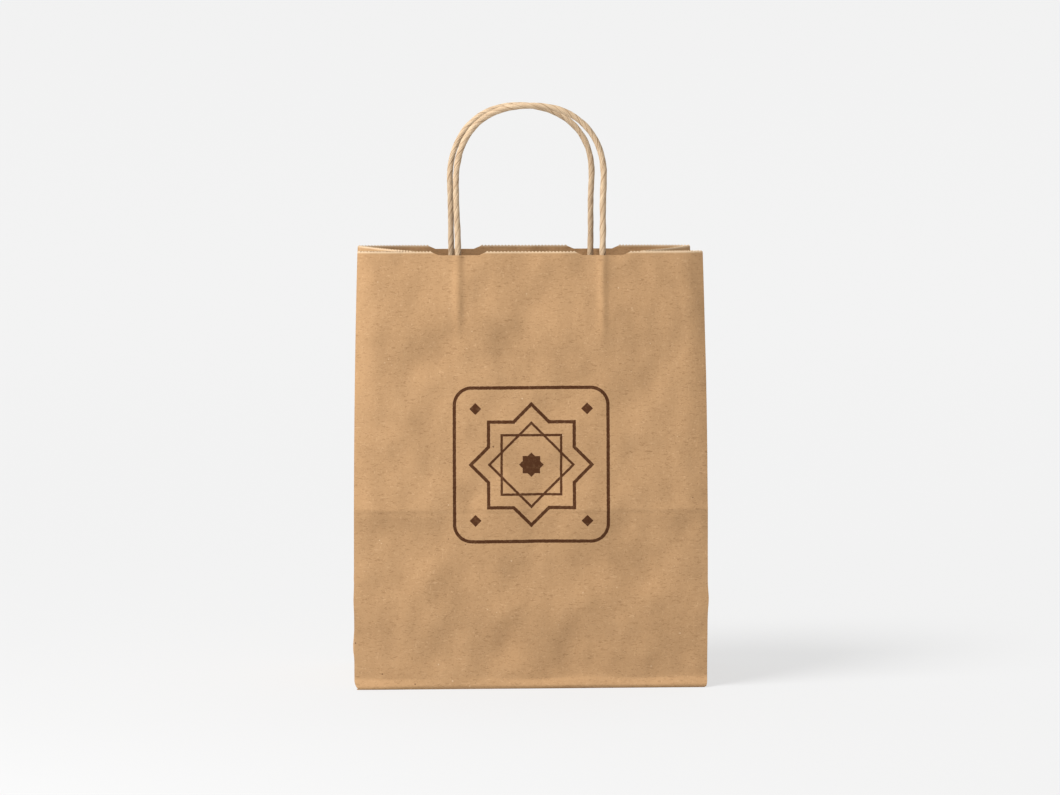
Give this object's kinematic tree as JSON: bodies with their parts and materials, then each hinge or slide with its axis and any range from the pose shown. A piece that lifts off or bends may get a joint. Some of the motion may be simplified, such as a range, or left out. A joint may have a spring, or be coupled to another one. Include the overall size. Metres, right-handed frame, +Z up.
{
  "type": "paper gift bag",
  "caption": "Open upright kraft paper bag with folded-in sides, a flat block bottom, a saw-toothed top edge and twisted paper cord handles.",
  "frame": {"origin": "middle of the base, on the surface that the bag stands on", "axes": "+Z up, front wall towards -Y, +X to the right as seen from the front"},
  "size_m": [0.203, 0.102, 0.3357],
  "materials": {
    "kraft_paper": "matte brown kraft paper with fine fibres",
    "patch_paper": "matte brown kraft paper, glued",
    "cord_paper": "matte twisted kraft paper cord"
  },
  "bodies": {
    "base": {"bottom_front_flap": "kraft_paper", "bottom_rear_flap": "kraft_paper", "bottom_left_tuck": "kraft_paper", "bottom_right_tuck": "kraft_paper"},
    "front_wall": {"front_panel": "kraft_paper", "front_outer_patch": "patch_paper", "front_inner_patch": "patch_paper", "front_left_leg": "cord_paper", "front_right_leg": "cord_paper"},
    "back_wall": {"back_panel": "kraft_paper", "back_outer_patch": "patch_paper", "back_inner_patch": "patch_paper", "back_left_leg": "cord_paper", "back_right_leg": "cord_paper", "side_seam_flap": "kraft_paper"},
    "left_gusset": {"left_gusset_web": "kraft_paper"},
    "right_gusset": {"right_gusset_web": "kraft_paper"},
    "left_front_wing": {"left_front_wing": "kraft_paper"},
    "left_rear_wing": {"left_rear_wing": "kraft_paper"},
    "right_front_wing": {"right_front_wing": "kraft_paper"},
    "right_rear_wing": {"right_rear_wing": "kraft_paper"},
    "front_handle": {"front_handle_loop": "cord_paper"},
    "back_handle": {"back_handle_loop": "cord_paper"}
  },
  "joints": [
    {"name": "mouth_close", "type": "hinge", "parent": "base", "child": "front_wall", "pos_m": [0, -0.051, 0], "axis": [-1, 0, 0], "range_deg": [0, 4], "stiffness_Nm_per_rad": 0.5},
    {"name": "back_wall_lean", "type": "hinge", "parent": "base", "child": "back_wall", "pos_m": [0, 0.051, 0], "axis": [1, 0, 0], "range_deg": [0, 4]},
    {"name": "left_gusset_lean", "type": "hinge", "parent": "base", "child": "left_gusset", "pos_m": [-0.1015, 0, 0], "axis": [0, 1, 0], "range_deg": [0, 3.52]},
    {"name": "right_gusset_lean", "type": "hinge", "parent": "base", "child": "right_gusset", "pos_m": [0.1015, 0, 0], "axis": [0, -1, 0], "range_deg": [0, 3.52]},
    {"name": "right_front_wing_fold", "type": "hinge", "parent": "right_gusset", "child": "right_front_wing", "pos_m": [0.1015, -0.051, 0], "axis": [-0.1163, 0.1991, 0.973], "range_deg": [0, 27]},
    {"name": "right_rear_wing_fold", "type": "hinge", "parent": "right_gusset", "child": "right_rear_wing", "pos_m": [0.1015, 0.051, 0], "axis": [0.1163, 0.1991, -0.973], "range_deg": [0, 27]},
    {"name": "left_front_wing_fold", "type": "hinge", "parent": "left_gusset", "child": "left_front_wing", "pos_m": [-0.1015, -0.051, 0], "axis": [-0.1163, -0.1991, -0.973], "range_deg": [0, 27]},
    {"name": "left_rear_wing_fold", "type": "hinge", "parent": "left_gusset", "child": "left_rear_wing", "pos_m": [-0.1015, 0.051, 0], "axis": [0.1163, -0.1991, 0.973], "range_deg": [0, 27]},
    {"name": "front_handle_bend", "type": "hinge", "parent": "front_wall", "child": "front_handle", "pos_m": [0, -0.03803, 0.25049], "axis": [1, 0, 0], "range_deg": [-8, 90], "stiffness_Nm_per_rad": 0.012},
    {"name": "back_handle_bend", "type": "hinge", "parent": "back_wall", "child": "back_handle", "pos_m": [0, 0.03803, 0.25049], "axis": [-1, 0, 0], "range_deg": [-8, 90], "stiffness_Nm_per_rad": 0.012}
  ],
  "couplings": [
    {"joint": "back_wall_lean", "follows": "mouth_close", "ratio": 1},
    {"joint": "left_gusset_lean", "follows": "mouth_close", "ratio": 0.8769},
    {"joint": "right_gusset_lean", "follows": "mouth_close", "ratio": 0.8769},
    {"joint": "right_front_wing_fold", "follows": "mouth_close", "ratio": 6.7306},
    {"joint": "right_rear_wing_fold", "follows": "mouth_close", "ratio": 6.7306},
    {"joint": "left_front_wing_fold", "follows": "mouth_close", "ratio": 6.7306},
    {"joint": "left_rear_wing_fold", "follows": "mouth_close", "ratio": 6.7306}
  ]
}
